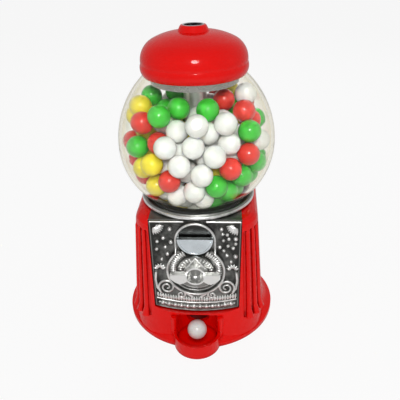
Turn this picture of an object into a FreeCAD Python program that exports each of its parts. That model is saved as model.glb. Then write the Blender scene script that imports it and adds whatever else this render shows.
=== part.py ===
import FreeCAD, Part
import math
import os
import Sketcher

# Counter-top gumball machine, millimetres.
# +Z is up, the coin side faces -Y, and the origin is on the floor under the globe's axis.

SIZES = {
    # glass globe
    "globe_r": 59.0,
    "globe_mid_z": 155.0,
    "globe_low_arc": 53.0,
    "globe_high_arc": 68.0,
    "globe_foot_z": 111.0,
    "globe_neck_z": 206.0,
    "glass_wall": 2.5,
    # lid and lock
    "lid_rim_r": 36.9,
    "lid_bulge_r": 37.9,
    "lid_bulge_z": 214.0,
    "lid_dome_r": 29.0,
    "lid_dome_z": 229.3,
    "lid_crown_z": 234.0,
    "lid_wall": 1.8,
    "skirt_depth": 6.0,
    "skirt_gap": 0.6,
    "collar_r": 9.2,
    "collar_foot_r": 11.0,
    "collar_top_z": 238.0,
    "bezel_r": 7.6,
    "bezel_wall": 1.1,
    "plug_depth": 5.0,
    "plug_len": 8.0,
    "key_slot_w": 1.6,
    "key_slot_l": 7.0,
    "tail_r": 2.6,
    "tail_len": 10.0,
    # body casting
    "body_top_z": 108.5,
    "body_half_low": 55.0,
    "body_half_high": 47.0,
    "corner_r_low": 36.0,
    "corner_r_high": 24.0,
    "body_wall": 3.5,
    "shoulder_r": 7.0,
    "foot_r": 63.2,
    "foot_edge_h": 3.2,
    "cove_top_z": 15.0,
    "cove_top_r": 54.0,
    "well_gap": 1.2,
    "web_z": 2.0,
    "web_t": 2.5,
    "web_hole_r": 31.0,
    "flute_r": 2.1,
    "flute_low_z": 22.0,
    "flute_high_z": 98.0,
    "fit_gap": 0.3,
    "run_gap": 0.06,
    # cup and ball outlet
    "cup_y": 56.0,
    "cup_r": 18.8,
    "cup_inner_r": 16.7,
    "cup_rim_z": 12.0,
    "cup_floor_z": 4.0,
    "niche_top_z": 26.5,
    "niche_rib_r": 2.4,
    "outlet_r": 9.3,
    "outlet_z": 16.0,
    "ball_r": 7.95,
    # front plate
    "plate_lean": 4.9,
    "plate_stand": 7.6,
    "plate_t": 3.0,
    "plate_half_top": 35.0,
    "plate_half_low": 33.5,
    "plate_top": 108.2,
    "plate_low": 32.0,
    "plate_bow": 5.0,
    "border_w": 1.8,
    "border_lift": 1.6,
    "lobe_r": 15.6,
    "lobe_z": 92.0,
    "dial_seat_r": 22.6,
    "dial_seat_stand": 7.8,
    "lip_r": 13.5,
    "lip_top_z": 94.5,
    "lip_set_back": 1.2,
    "coin_r": 12.2,
    "coin_t": 2.3,
    # handle and shaft
    "shaft_z": 66.0,
    "shaft_r": 3.5,
    "shaft_tail": 5.0,
    "dial_r": 14.3,
    "dial_t": 2.0,
    "dial_gap": 0.4,
    "hub_r": 8.0,
    "hub_len": 8.0,
    "wing_span": 38.0,
    "wing_t": 5.0,
    "wing_h": 8.5,
    "wing_top": 2.5,
    "wing_edge": 3.0,
    "knob_r": 6.6,
    "coin_wheel_r": 17.5,
    "coin_wheel_t": 1.8,
    "coin_wheel_gap": 0.4,
    "bracket_gap": 1.3,
    "bracket_t": 1.8,
    "window_r": 24.0,
    "stand_off_r": 2.0,
    "bush_r": 5.6,
    "bush_gap": 1.8,
    "clip_t": 1.2,
    "clip_r": 5.0,
    # hopper
    "rim_w": 6.0,
    "rim_top_z": 113.5,
    "rim_land": 1.6,
    "ledge_z": 109.5,
    "well_r": 32.5,
    "well_wall": 2.8,
    "gasket_w": 4.7,
    "gasket_gap": 0.8,
    "floor_top_z": 77.5,
    "floor_low_z": 70.2,
    "groove_half": 2.2,
    "groove_low_z": 71.4,
    "exit_angle": -45.0,
    # dispensing wheel
    "wheel_gap": 0.6,
    "wheel_low_z": 78.0,
    "wheel_top_z": 93.0,
    "pocket_r": 8.9,
    "peg_inset": 2.4,
    "peg_r": 1.1,
    "peg_low_z": 72.0,
    "post_r": 8.4,
    "post_top_z": 95.0,
    "wiper_z": 94.0,
    "wiper_t": 1.2,
    # pinion
    "tooth_w": 1.6,
    "tooth_tip_r": 9.0,
    "pinion_root_r": 4.9,
    "pinion_t": 3.0,
    # centre tube, tie rod and base cover
    "tube_r": 8.4,
    "tube_wall": 1.0,
    "tube_top_z": 224.0,
    "rod_r": 3.0,
    "rod_low_z": 1.0,
    "rod_top_z": 213.0,
    "cover_r": 36.0,
    "cover_t": 1.5,
    "dish_r": 12.0,
    "dish_rise": 6.5,
    "nut_af": 10.0,
    "nut_t": 4.5,
    "washer_r": 7.5,
    "washer_t": 1.0,
    "chute_wall": 1.2,
    "chute_bend_z": 24.0,
}
PEGS = 32
TEETH = 8
POCKETS = 4
FLUTES = 4
SHOULDER_STEPS = 4

doc = FreeCAD.newDocument("GumballMachine")
sheet = doc.addObject("Spreadsheet::Sheet", "Sizes")
for row, (alias, number) in enumerate(SIZES.items(), start=1):
    sheet.set("A%d" % row, alias)
    sheet.set("B%d" % row, str(number))
    sheet.setAlias("B%d" % row, alias)
doc.recompute()


class Size:
    """A length with its value and the sheet expression that gives it."""

    def __init__(self, value, text):
        self.value = float(value)
        self.text = text

    def _join(self, other, sign, value):
        return Size(value, "(%s %s %s)" % (self.text, sign, other.text))

    def __add__(self, other):
        other = as_size(other)
        return self._join(other, "+", self.value + other.value)

    def __sub__(self, other):
        other = as_size(other)
        return self._join(other, "-", self.value - other.value)

    def __mul__(self, other):
        other = as_size(other)
        return self._join(other, "*", self.value * other.value)

    def __truediv__(self, other):
        other = as_size(other)
        return self._join(other, "/", self.value / other.value)

    def __neg__(self):
        return Size(-self.value, "(-1 * %s)" % self.text)


def as_size(number):
    return number if isinstance(number, Size) else Size(number, repr(float(number)))


class Named:
    """Sheet cells by alias."""

    def __getattr__(self, alias):
        return Size(sheet.get(alias), "Sizes.%s" % alias)


S = Named()

# Places that follow from the well: the wheel inside it, the globe seat on it, the mechanism before it
well_out = S.well_r + S.well_wall
wheel_r = S.well_r - S.wheel_gap
peg_pitch = wheel_r - S.peg_inset
pocket_pitch = peg_pitch - S.peg_r - S.pocket_r
shaft_back_y = peg_pitch - S.shaft_tail
gasket_r = S.well_r + S.gasket_w
ledge_r = gasket_r + S.gasket_gap
rim_r = ledge_r + S.rim_w
cavity_front = well_out + S.well_gap
bracket_y = well_out + S.bracket_gap
coin_wheel_y = bracket_y + S.bracket_t + S.coin_wheel_gap + S.coin_wheel_t
plate_back_y = coin_wheel_y + S.plate_stand
dial_seat_y = coin_wheel_y + S.dial_seat_stand
lip_front_y = dial_seat_y - S.lip_set_back
PARTS = []


def bind(obj, **lengths):
    """Set each property to a size and tie it to the sheet."""
    for prop, length in lengths.items():
        length = as_size(length)
        setattr(obj, prop, length.value)
        obj.setExpression(prop, length.text)
    return obj


def place(obj, x=0, y=0, z=0):
    """Tie the object's place to the sheet."""
    for axis, length in zip("xyz", (x, y, z)):
        length = as_size(length)
        setattr(obj.Placement.Base, axis, length.value)
        obj.setExpression("Placement.Base.%s" % axis, length.text)
    return obj


def turn(obj, axis, angle):
    """Turn the object about its own origin by an angle tied to the sheet."""
    angle = as_size(angle)
    obj.Placement = FreeCAD.Placement(obj.Placement.Base, FreeCAD.Rotation(axis, angle.value))
    obj.setExpression("Placement.Rotation.Angle", angle.text)
    return obj


def part(obj, label):
    """Name a finished sub-part."""
    obj.Label = label
    PARTS.append(obj)
    return obj


def cylinder(name, radius, height, x=0, y=0, z=0):
    return place(bind(doc.addObject("Part::Cylinder", name), Radius=radius, Height=height), x, y, z)


def rod_y(name, radius, front, back, x=0, z=0):
    """Cylinder along Y from y = -front to y = -back."""
    rod = bind(doc.addObject("Part::Cylinder", name), Radius=radius, Height=front - back)
    rod.Placement = FreeCAD.Placement(FreeCAD.Vector(), FreeCAD.Rotation(FreeCAD.Vector(1, 0, 0), 90))
    return place(rod, x, -as_size(back), z)


def box(name, length, width, height, x, y, z):
    made = bind(doc.addObject("Part::Box", name), Length=length, Width=width, Height=height)
    return place(made, x, y, z)


def fuse(name, *shapes):
    made = doc.addObject("Part::MultiFuse", name)
    made.Shapes = list(shapes)
    return made


def cut(name, base, *tools):
    made = doc.addObject("Part::Cut", name)
    made.Base = base
    made.Tool = tools[0] if len(tools) == 1 else fuse(name + "_tools", *tools)
    return made


def common(name, *shapes):
    made = doc.addObject("Part::MultiCommon", name)
    made.Shapes = list(shapes)
    return made


def new_body(name):
    return doc.addObject("PartDesign::Body", name)


def plane_of(body, role):
    return next(f for f in body.Origin.OriginFeatures if f.Role == role)


def profile(body, name, role, points, lift=None):
    """Closed sketch through points; a third entry (radius, side) bends the run to the next point."""
    sketch = body.newObject("Sketcher::SketchObject", name)
    sketch.AttachmentSupport = [(plane_of(body, role), "")]
    sketch.MapMode = "FlatFace"
    if lift is not None:
        lift = as_size(lift)
        sketch.AttachmentOffset.Base.z = lift.value
        sketch.setExpression("AttachmentOffset.Base.z", lift.text)
    corners = [tuple(as_size(c) for c in p[:2]) for p in points]
    spots = [FreeCAD.Vector(x.value, y.value, 0) for x, y in corners]
    count = len(points)
    for i, point in enumerate(points):
        here, there = spots[i], spots[(i + 1) % count]
        if len(point) == 2:
            sketch.addGeometry(Part.LineSegment(here, there), False)
            continue
        radius, side = as_size(point[2][0]), point[2][1]
        half = (there - here) * 0.5
        rise = radius.value - math.sqrt(max(radius.value ** 2 - half.Length ** 2, 0.0))
        normal = FreeCAD.Vector(-half.y, half.x, 0).normalize()
        sketch.addGeometry(Part.Arc(here, here + half + normal * (rise * side), there), False)
    for i, point in enumerate(points):
        start, end = ends(sketch, i, spots[i])
        follow = ends(sketch, (i + 1) % count, spots[(i + 1) % count])[0]
        sketch.addConstraint(Sketcher.Constraint("Coincident", i, end, (i + 1) % count, follow))
        for kind, length, axis in (("DistanceX", corners[i][0], -2), ("DistanceY", corners[i][1], -1)):
            tie(sketch, kind, i, start, length, axis)
        if len(point) > 2:
            radius = as_size(point[2][0])
            index = sketch.addConstraint(Sketcher.Constraint("Radius", i, radius.value))
            sketch.setExpression("Constraints[%d]" % index, radius.text)
    return sketch


def ends(sketch, i, spot):
    """Numbers of the end at spot and of the other end of sketch line i."""
    return (1, 2) if sketch.getPoint(i, 1).isEqual(spot, 1e-6) else (2, 1)


def tie(sketch, kind, i, end, length, axis):
    """Hold a sketch point at a distance from the sketch origin."""
    if abs(length.value) < 1e-9:
        sketch.addConstraint(Sketcher.Constraint("PointOnObject", i, end, axis))
        return
    if length.value > 0:
        index = sketch.addConstraint(Sketcher.Constraint(kind, -1, 1, i, end, length.value))
        sketch.setExpression("Constraints[%d]" % index, length.text)
    else:
        index = sketch.addConstraint(Sketcher.Constraint(kind, i, end, -1, 1, -length.value))
        sketch.setExpression("Constraints[%d]" % index, (-length).text)


def revolve(name, points, angle=360.0):
    """Body turned about Z from a profile of (radius, height) points."""
    body = new_body(name)
    sketch = profile(body, name + "_profile", "XZ_Plane", points)
    turned = body.newObject("PartDesign::Revolution", name + "_turned")
    turned.Profile = sketch
    turned.ReferenceAxis = (sketch, ["V_Axis"])
    turned.Angle = angle
    body.Tip = turned
    return body


def pad(body, name, sketch, length, back=False):
    made = body.newObject("PartDesign::Pad", name)
    made.Profile = sketch
    bind(made, Length=length)
    made.Reversed = back
    body.Tip = made
    return made


def globe():
    """Blown glass: a low arc and a taller high arc that meet at the widest ring."""
    low_in = S.globe_low_arc - S.glass_wall
    high_in = S.globe_high_arc - S.glass_wall

    def at(arc, edge, rise):
        value = S.globe_r.value - edge.value + math.sqrt(arc.value ** 2 - rise.value ** 2)
        text = "(%s - %s + sqrt(%s * %s - %s * %s))" % (
            S.globe_r.text, edge.text, arc.text, arc.text, rise.text, rise.text)
        return Size(value, text)

    down = S.globe_mid_z - S.globe_foot_z
    up = S.globe_neck_z - S.globe_mid_z
    points = [
        (at(S.globe_low_arc, S.globe_low_arc, down), S.globe_foot_z, (S.globe_low_arc, -1)),
        (S.globe_r, S.globe_mid_z, (S.globe_high_arc, -1)),
        (at(S.globe_high_arc, S.globe_high_arc, up), S.globe_neck_z),
        (at(high_in, S.globe_high_arc, up), S.globe_neck_z, (high_in, 1)),
        (S.globe_r - S.glass_wall, S.globe_mid_z, (low_in, 1)),
        (at(low_in, S.globe_low_arc, down), S.globe_foot_z),
    ]
    part(revolve("glass_globe", points), "glass_globe")
    return at(high_in, S.globe_high_arc, up)


def lid(neck_r):
    """Spun dome with a beaded rim, a skirt inside the neck and a collar for the lock."""
    wall = S.lid_wall
    skirt_r = neck_r - S.skirt_gap
    bezel = S.bezel_r
    points = [
        (skirt_r, S.globe_neck_z - S.skirt_depth),
        (skirt_r, S.globe_neck_z),
        (S.lid_rim_r, S.globe_neck_z, (S.lid_bulge_z - S.globe_neck_z, -1)),
        (S.lid_bulge_r, S.lid_bulge_z, (S.lid_dome_z - S.lid_bulge_z, -1)),
        (S.lid_dome_r, S.lid_dome_z, (S.lid_dome_r * 1.6, -1)),
        (S.collar_foot_r, S.lid_crown_z),
        (S.collar_r, S.collar_top_z - 0.6),
        (S.collar_r - 0.6, S.collar_top_z),
        (bezel, S.collar_top_z),
        (bezel, S.lid_crown_z - wall * 2),
        (S.collar_foot_r, S.lid_crown_z - wall * 2),
        (S.lid_dome_r - wall, S.lid_dome_z - wall * 1.6),
        (S.lid_bulge_r - wall * 2, S.lid_bulge_z),
        (skirt_r - wall, S.globe_neck_z + wall),
        (skirt_r - wall, S.globe_neck_z - S.skirt_depth),
    ]
    part(revolve("lid", points), "lid")


def lock():
    """Chrome bezel pressed in the collar, a keyed plug that turns in it and its square tail."""
    inner = S.bezel_r - S.bezel_wall
    plug_low = S.collar_top_z - S.plug_depth - S.plug_len
    bezel = revolve("lock_bezel", [
        (inner, plug_low), (S.bezel_r, plug_low), (S.bezel_r, S.collar_top_z + 0.3),
        (inner + 0.3, S.collar_top_z + 0.3), (inner, S.collar_top_z)])
    part(bezel, "lock_bezel")
    plug = cylinder("plug_round", inner - S.run_gap, S.plug_len, z=plug_low)
    slot = box("key_slot", S.key_slot_w, S.key_slot_l, S.plug_len,
               S.key_slot_w * -0.5, S.key_slot_l * -0.5, plug_low + S.plug_len * 0.4)
    part(cut("lock_plug", plug, slot), "lock_plug")
    stem = cylinder("tail_stem", S.tail_r, S.tail_len, z=plug_low - S.tail_len)
    flag = box("tail_flag", S.tail_r * 3.6, S.tail_r, S.tail_r,
               S.tail_r * -1.8, S.tail_r * -0.5, plug_low - S.tail_len)
    part(fuse("lock_tail", stem, flag), "lock_tail")


def hopper():
    """Seat for the globe over a round well; its floor has a peg groove, an outlet and a pinion slot."""
    turned = revolve("hopper_round", [
        (S.rod_r + S.fit_gap, S.floor_low_z), (well_out, S.floor_low_z), (well_out, S.body_top_z),
        (rim_r - 1, S.body_top_z), (rim_r, S.body_top_z + 1.2), (rim_r, S.rim_top_z - 1),
        (rim_r - 0.8, S.rim_top_z), (rim_r - S.rim_land, S.rim_top_z), (ledge_r, S.ledge_z),
        (S.well_r, S.ledge_z), (S.well_r, S.floor_top_z),
        (peg_pitch + S.groove_half, S.floor_top_z), (peg_pitch + S.groove_half, S.groove_low_z),
        (peg_pitch - S.groove_half, S.groove_low_z), (peg_pitch - S.groove_half, S.floor_top_z),
        (S.rod_r + S.fit_gap, S.floor_top_z)])
    angle = math.radians(S.exit_angle.value)
    outlet = cylinder("hopper_outlet", S.outlet_r, S.floor_top_z - S.floor_low_z + 2,
                      pocket_pitch * math.cos(angle), pocket_pitch * math.sin(angle), S.floor_low_z - 1)
    slot_half = S.tooth_tip_r + 1.0
    slot_front = peg_pitch + S.pinion_t * 0.5 + 0.8
    slot = box("pinion_slot", slot_half * 2, slot_front - shaft_back_y + 1, S.floor_top_z - S.floor_low_z,
               -slot_half, -slot_front, S.floor_low_z - 1)
    part(cut("hopper", turned, outlet, slot), "hopper")
    post = revolve("hub_post", [
        (S.rod_r + S.fit_gap, S.floor_top_z), (S.post_r, S.floor_top_z), (S.post_r, S.post_top_z),
        (S.rod_r + S.fit_gap, S.post_top_z)])
    part(post, "hub_post")
    part(revolve("globe_gasket", [
        (S.well_r, S.ledge_z), (gasket_r, S.ledge_z), (gasket_r, S.globe_foot_z),
        (S.well_r, S.globe_foot_z)]), "globe_gasket")
    wiper = revolve("pocket_wiper", [
        (S.post_r + 2, S.wiper_z), (S.well_r, S.wiper_z), (S.well_r, S.wiper_z + S.wiper_t),
        (S.post_r + 2, S.wiper_z + S.wiper_t)], angle=70.0)
    turn(wiper, FreeCAD.Vector(0, 0, 1), S.exit_angle - 35)
    part(wiper, "pocket_wiper")


def wheel():
    """Four-pocket dispensing wheel with a ring of drive pegs under its rim."""
    body = new_body("dispensing_wheel")
    disc = body.newObject("Sketcher::SketchObject", "wheel_outline")
    disc.AttachmentSupport = [(plane_of(body, "XY_Plane"), "")]
    disc.MapMode = "FlatFace"
    lift(disc, S.wheel_low_z)
    ring(disc, wheel_r, 0, 0)
    ring(disc, S.post_r + S.run_gap, 0, 0)
    pad(body, "wheel_disc", disc, S.wheel_top_z - S.wheel_low_z)
    pocket = body.newObject("Sketcher::SketchObject", "wheel_pocket")
    pocket.AttachmentSupport = [(plane_of(body, "XY_Plane"), "")]
    pocket.MapMode = "FlatFace"
    lift(pocket, S.wheel_top_z)
    ring(pocket, S.pocket_r, pocket_pitch, 0)
    hole = body.newObject("PartDesign::Pocket", "wheel_hole")
    hole.Profile = pocket
    bind(hole, Length=S.wheel_top_z - S.wheel_low_z + 1)
    pattern(body, "wheel_holes", hole, POCKETS)
    peg = body.newObject("Sketcher::SketchObject", "wheel_peg")
    peg.AttachmentSupport = [(plane_of(body, "XY_Plane"), "")]
    peg.MapMode = "FlatFace"
    lift(peg, S.peg_low_z)
    half_step = math.pi / PEGS
    ring(peg, S.peg_r, peg_pitch * math.cos(half_step), peg_pitch * math.sin(half_step))
    grown = pad(body, "wheel_peg_pad", peg, S.wheel_low_z - S.peg_low_z + 0.5)
    pattern(body, "wheel_pegs", grown, PEGS)
    part(body, "dispensing_wheel")


def lift(sketch, height):
    """Raise a sketch from its plane by a size."""
    sketch.AttachmentOffset.Base.z = height.value
    sketch.setExpression("AttachmentOffset.Base.z", height.text)


def ring(sketch, radius, x, y):
    """Circle in a sketch, its radius and centre tied to the sheet."""
    radius, x, y = as_size(radius), as_size(x), as_size(y)
    centre = FreeCAD.Vector(x.value, y.value, 0)
    index = sketch.addGeometry(Part.Circle(centre, FreeCAD.Vector(0, 0, 1), radius.value), False)
    tie(sketch, "DistanceX", index, 3, x, -2)
    tie(sketch, "DistanceY", index, 3, y, -1)
    held = sketch.addConstraint(Sketcher.Constraint("Radius", index, radius.value))
    sketch.setExpression("Constraints[%d]" % held, radius.text)


def pattern(body, name, feature, count):
    """Repeat a feature evenly round Z."""
    made = body.newObject("PartDesign::PolarPattern", name)
    made.Originals = [feature]
    made.Axis = (feature.Profile[0], ["N_Axis"])
    made.Angle = 360.0
    made.Occurrences = count
    body.Tip = made
    return made


def rounded_square(body, name, half, corner, height):
    flat = half - corner
    bend = (corner, -1)
    return profile(body, name, "XY_Plane", [
        (half, -flat), (half, flat, bend), (flat, half), (-flat, half, bend),
        (-half, flat), (-half, -flat, bend), (-flat, -half), (flat, -half, bend)], lift=height)


def tapered(name, steps):
    """Straight loft through the body's rounded squares, each at a height and drawn in by an inset."""
    body = new_body(name)

    def at(low_size, high_size, z):
        return low_size + (high_size - low_size) * z / S.body_top_z

    sections = []
    for i, (z, inset) in enumerate(steps):
        z = as_size(z)
        half = at(S.body_half_low, S.body_half_high, z) - inset
        corner = at(S.corner_r_low, S.corner_r_high, z) - inset
        sections.append(rounded_square(body, "%s_step_%d" % (name, i), half, corner, z))
    loft = body.newObject("PartDesign::AdditiveLoft", name + "_loft")
    loft.Profile = sections[0]
    loft.Sections = sections[1:]
    loft.Ruled = True
    body.Tip = loft
    return body


def plate_body(name, grow, top, depth):
    """Leaning slab with the front plate's outline: wider at the top, bowed along the bottom."""
    body = new_body(name)
    half_low = S.plate_half_low + grow
    half_top = S.plate_half_top + grow
    low = S.plate_low - grow
    bow_r = (half_low * half_low + S.plate_bow * S.plate_bow) / (S.plate_bow * 2)
    sketch = profile(body, name + "_outline", "XZ_Plane", [
        (-half_low, low, (bow_r, -1)), (half_low, low), (half_top, top), (-half_top, top)])
    pad(body, name + "_slab", sketch, depth)
    body.Placement = FreeCAD.Placement(
        FreeCAD.Vector(), FreeCAD.Rotation(FreeCAD.Vector(1, 0, 0), -S.plate_lean.value))
    place(body, 0, -plate_back_y, 0)
    return body


def corner_flutes():
    """Grooves up the two front corners, each between its spots on the low and high sections."""
    grooves = []

    def spot(angle, z):
        share = z / S.body_top_z.value
        half = S.body_half_low.value + (S.body_half_high.value - S.body_half_low.value) * share
        corner = S.corner_r_low.value + (S.corner_r_high.value - S.corner_r_low.value) * share
        out = half - corner
        return out + corner * math.cos(angle), -out - corner * math.sin(angle)

    for side in (-1, 1):
        for i in range(FLUTES):
            angle = math.radians(14 + 13.5 * i)
            ends_at = []
            for z in (S.flute_low_z.value, S.flute_high_z.value):
                x, y = spot(angle, z)
                ends_at.append(FreeCAD.Vector(side * x, y, z))
            run = ends_at[1] - ends_at[0]
            name = "flute_%d_%d" % (side + 1, i)
            groove = bind(doc.addObject("Part::Cylinder", name), Radius=S.flute_r)
            groove.Height = run.Length
            groove.Placement = FreeCAD.Placement(
                ends_at[0], FreeCAD.Rotation(FreeCAD.Vector(0, 0, 1), run))
            grooves.append(groove)
            for tag, at in (("low", ends_at[0]), ("high", ends_at[1])):
                tip = bind(doc.addObject("Part::Sphere", name + tag), Radius=S.flute_r)
                tip.Placement.Base = at
                grooves.append(tip)
    return grooves


def casting():
    """Hollow tapered body on a round foot, with the ball cup and its niche at the front."""
    steps = [(0, 0)]
    for i in range(SHOULDER_STEPS + 1):
        angle = math.pi / 2 * i / SHOULDER_STEPS
        steps.append((S.body_top_z - S.shoulder_r * (1 - math.sin(angle)), S.shoulder_r * (1 - math.cos(angle))))
    body = tapered("casting_outer", steps)
    foot = revolve("casting_foot", [
        (S.cover_r + 2, 0), (S.foot_r, 0),
        (S.foot_r, S.foot_edge_h, (S.cove_top_z - S.foot_edge_h + 2, 1)),
        (S.cove_top_r, S.cove_top_z), (S.cover_r + 2, S.cove_top_z)])
    cup = cylinder("cup_wall", S.cup_r, S.cup_rim_z, 0, -S.cup_y, 0)
    ribs = []
    for side in (-1, 1):
        x = (S.cup_inner_r + S.niche_rib_r - 0.5) * side
        ribs.append(cylinder("niche_rib_%d" % (side + 1), S.niche_rib_r, S.niche_top_z - 1, x, -S.cup_y + 2.2, 0))
    outer = fuse("casting_solid", body, foot, cup, *ribs)
    web_top = S.web_z + S.web_t
    roof = S.body_top_z - S.body_wall
    hollow = tapered("casting_cavity", [
        (web_top, S.body_wall), (roof - S.shoulder_r, S.body_wall), (roof, S.body_wall + S.shoulder_r)])
    reach = S.body_half_low * 2
    room = common("casting_room", hollow,
                  box("cavity_limit", reach * 2, reach + cavity_front, S.body_top_z * 2,
                      -reach, -cavity_front, -1))
    throat = cylinder("hopper_hole", well_out + S.fit_gap, S.body_wall * 2, 0, 0,
                      S.body_top_z - S.body_wall - 1)
    recess = cylinder("cover_recess", S.cover_r + S.fit_gap, S.web_z + 1, 0, 0, -1)
    opening = cylinder("web_hole", S.web_hole_r, S.web_t + 2, 0, 0, S.web_z - 1)
    niche = cylinder("cup_hollow", S.cup_inner_r, S.niche_top_z - S.cup_floor_z, 0, -S.cup_y, S.cup_floor_z)
    outlet = rod_y("ball_outlet", S.outlet_r, S.cup_y - 2, cavity_front - 2, 0, S.outlet_z)
    window = rod_y("mechanism_window", S.window_r, plate_back_y, cavity_front - 2, 0, S.shaft_z)
    seat = plate_body("plate_recess", S.fit_gap, S.plate_top + 20, S.foot_r)
    made = cut("base_casting", outer, room, throat, recess, opening, niche, outlet, window, seat,
               *corner_flutes())
    part(made, "base_casting")


def base_hardware():
    """Dished bottom cover, held up by the tie rod, its washer and its nut."""
    hole = S.rod_r + S.fit_gap
    low = S.web_z - S.cover_t
    raised = low + S.dish_rise
    part(revolve("base_cover", [
        (hole, raised), (S.dish_r, raised), (S.dish_r + 5, low), (S.cover_r, low), (S.cover_r, S.web_z),
        (S.dish_r + 6, S.web_z), (S.dish_r + 1, raised + S.cover_t), (hole, raised + S.cover_t)]), "base_cover")
    part(revolve("rod_washer", [
        (S.rod_r + S.run_gap, raised - S.washer_t), (S.washer_r, raised - S.washer_t), (S.washer_r, raised),
        (S.rod_r + S.run_gap, raised)]), "rod_washer")
    blank = bind(doc.addObject("Part::Prism", "nut_blank"), Circumradius=S.nut_af / math.sqrt(3), Height=S.nut_t)
    blank.Polygon = 6
    nut_z = raised - S.washer_t - S.nut_t
    place(blank, 0, 0, nut_z)
    part(cut("rod_nut", blank, cylinder("nut_bore", S.rod_r + S.run_gap, S.nut_t + 2, z=nut_z - 1)), "rod_nut")
    part(cylinder("tie_rod", S.rod_r, S.rod_top_z - S.rod_low_z, z=S.rod_low_z), "tie_rod")
    inner = S.tube_r - S.tube_wall
    part(revolve("centre_tube", [
        (inner, S.post_top_z), (S.tube_r, S.post_top_z), (S.tube_r, S.tube_top_z), (inner, S.tube_top_z)]),
        "centre_tube")


def front_plate():
    """Leaning plate with the keyhole border: a coin lobe that runs into a round seat for the dial."""
    slab = plate_body("plate_slab", 0, S.plate_top, S.plate_t)
    back_y = plate_back_y - S.plate_t * 2.2
    seat = rod_y("dial_seat", S.dial_seat_r, dial_seat_y, back_y, 0, S.shaft_z)
    lobe_y = lip_front_y - 2
    lobe_floor = lobe_y - S.border_lift
    lobe = rod_y("coin_lobe", S.lobe_r, lobe_y, back_y, 0, S.lobe_z)
    behind = plate_body("plate_behind", S.fit_gap, S.plate_top + 20, S.foot_r)
    raised = common("plate_raised", fuse("plate_bosses", seat, lobe), behind)
    sunk = rod_y("lobe_recess", S.lobe_r - S.border_w, dial_seat_y + 1, lobe_floor, 0, S.lobe_z)
    dial_room = rod_y("dial_recess", S.dial_seat_r - S.border_w, dial_seat_y + 1,
                      dial_seat_y - S.border_lift, 0, S.shaft_z)
    lip_room = rod_y("lip_recess", S.lip_r + S.run_gap, dial_seat_y + 1, lobe_floor, 0, S.lip_top_z)
    coin = rod_y("coin_pocket", S.coin_r + S.fit_gap, dial_seat_y + 1, lobe_floor - S.coin_t, 0, S.lip_top_z)
    bore = rod_y("bush_bore", S.bush_r + S.run_gap, dial_seat_y + 1, cavity_front, 0, S.shaft_z)
    part(cut("front_plate", fuse("plate_whole", slab, raised), sunk, dial_room, lip_room, coin, bore), "front_plate")
    disc = rod_y("lip_disc", S.lip_r, lip_front_y, lobe_floor, 0, S.lip_top_z)
    low_half = box("lip_half", S.lip_r * 2, S.lip_r, S.lip_r, -S.lip_r, -lip_front_y - 1, S.lip_top_z - S.lip_r)
    part(common("coin_lip", disc, low_half), "coin_lip")


def mechanism_frame():
    """Round carrier plate behind the coin wheel on two stand-offs, and the two shaft bushes."""
    back, front = bracket_y, bracket_y + S.bracket_t
    bearing = S.shaft_r + S.run_gap
    disc = rod_y("frame_disc", S.window_r - S.fit_gap, front, back, 0, S.shaft_z)
    reach = S.window_r - S.stand_off_r - 0.8
    posts = [rod_y("stand_off_%d" % (side + 1), S.stand_off_r, plate_back_y, front - 0.5, reach * side, S.shaft_z)
             for side in (-1, 1)]
    whole = fuse("frame_whole", disc, *posts)
    bore = rod_y("frame_bore", S.bush_r + S.run_gap, front + 1, back - 1, 0, S.shaft_z)
    ahead = plate_body("frame_front", S.fit_gap, S.plate_top + 20, S.foot_r)
    part(cut("mechanism_frame", whole, bore, ahead), "mechanism_frame")
    seat_floor = dial_seat_y - S.border_lift
    places = (("rear_bushing", front, back), ("front_bushing", seat_floor, coin_wheel_y + S.bush_gap))
    for name, ahead_y, behind_y in places:
        ring_out = rod_y(name + "_round", S.bush_r, ahead_y, behind_y, 0, S.shaft_z)
        ring_in = rod_y(name + "_bore", bearing, ahead_y + 1, behind_y - 1, 0, S.shaft_z)
        part(cut(name, ring_out, ring_in), name)


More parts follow.
